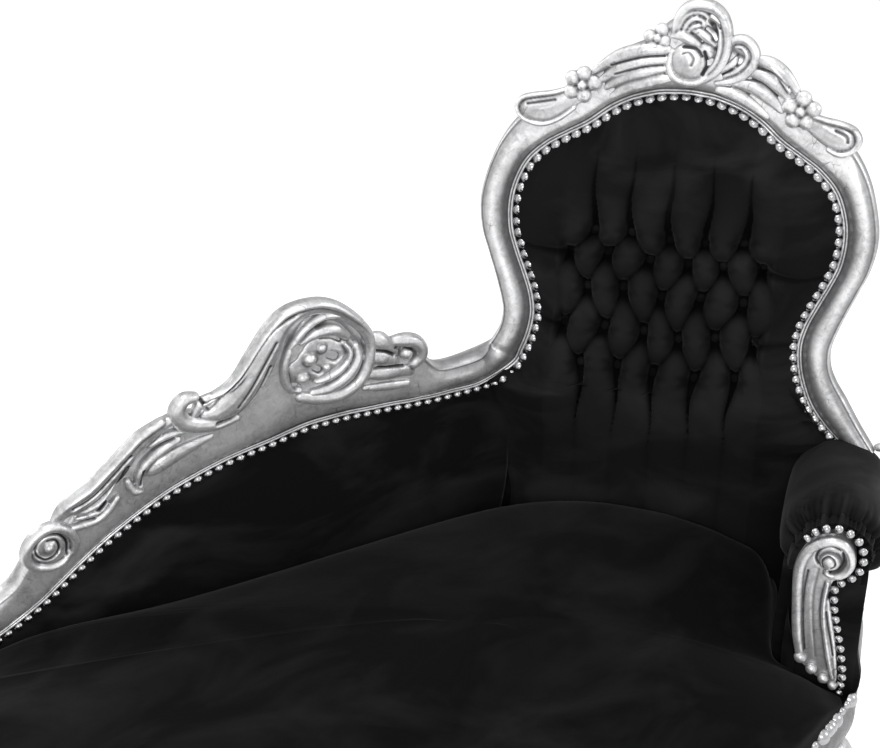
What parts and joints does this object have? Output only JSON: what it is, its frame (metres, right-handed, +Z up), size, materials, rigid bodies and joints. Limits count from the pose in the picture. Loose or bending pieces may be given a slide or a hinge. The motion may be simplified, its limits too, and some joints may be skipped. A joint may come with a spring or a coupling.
{
  "type": "chaise longue",
  "caption": "Carved and silvered chaise longue with a tufted cartouche back set across one corner, a carved side rail, one rolled arm and black velvet upholstery.",
  "frame": {"origin": "on the floor, under the centre of the whole piece's bounding box", "axes": "+X from the foot end to the head and arm end, +Y from the open front side to the carved side rail, +Z up"},
  "size_m": [1.7117, 0.7845, 1.1517],
  "materials": {
    "silver_leaf": "silver leaf over carved wood, bright on the crowns, darker in the recesses",
    "nail_heads": "polished domed heads",
    "velvet": "deep black cut pile",
    "beech": "planed, unfinished",
    "steel": "plain",
    "webbing": "woven strap",
    "hessian": "open weave",
    "foam": "open-cell foam",
    "dust_cloth": "thin black cloth"
  },
  "bodies": {
    "root": {"seat_rail_front": "silver_leaf", "seat_rail_foot": "silver_leaf", "seat_rail_rear": "silver_leaf", "seat_rail_head": "silver_leaf", "seat_rail_arm": "silver_leaf", "leg_front_foot": "silver_leaf", "leg_front_middle": "silver_leaf", "leg_front_arm": "silver_leaf", "leg_rear_foot": "silver_leaf", "leg_rear_middle": "silver_leaf", "leg_rear_head": "silver_leaf", "leg_glides": "steel", "corner_blocks": "beech", "block_screws": "steel", "cross_braces": "beech", "webbing_long": "webbing", "webbing_cross": "webbing", "hessian": "hessian", "seat_foam": "foam", "seat_cover": "velvet", "dust_cover": "dust_cloth", "back_frame": "silver_leaf", "crest_leaf_scroll": "silver_leaf", "crest_side_scroll": "silver_leaf", "crest_flowers": "silver_leaf", "crest_leaves": "silver_leaf", "crest_ears": "silver_leaf", "back_stile_left": "beech", "back_stile_right": "beech", "back_bottom_rail": "beech", "back_webbing": "webbing", "back_foam": "foam", "back_cover": "velvet", "back_buttons": "velvet", "back_outside_panel": "velvet", "low_rail": "silver_leaf", "low_rocaille": "silver_leaf", "low_scroll_band": "silver_leaf", "low_leaves": "silver_leaf", "low_volute": "silver_leaf", "low_scroll_end": "silver_leaf", "low_foot_scroll": "silver_leaf", "low_struts": "beech", "low_webbing": "webbing", "low_foam": "foam", "low_cover": "velvet", "low_outside_panel": "velvet", "arm_post": "silver_leaf", "arm_beads": "silver_leaf", "arm_bracket": "silver_leaf", "arm_top_rail": "beech", "arm_inside_cover": "velvet", "arm_base_cover": "velvet", "arm_roll": "velvet", "arm_outside_panel": "velvet", "back_nails": "nail_heads", "low_nails": "nail_heads", "arm_nails": "nail_heads", "seat_nails": "nail_heads"}
  },
  "joints": []
}
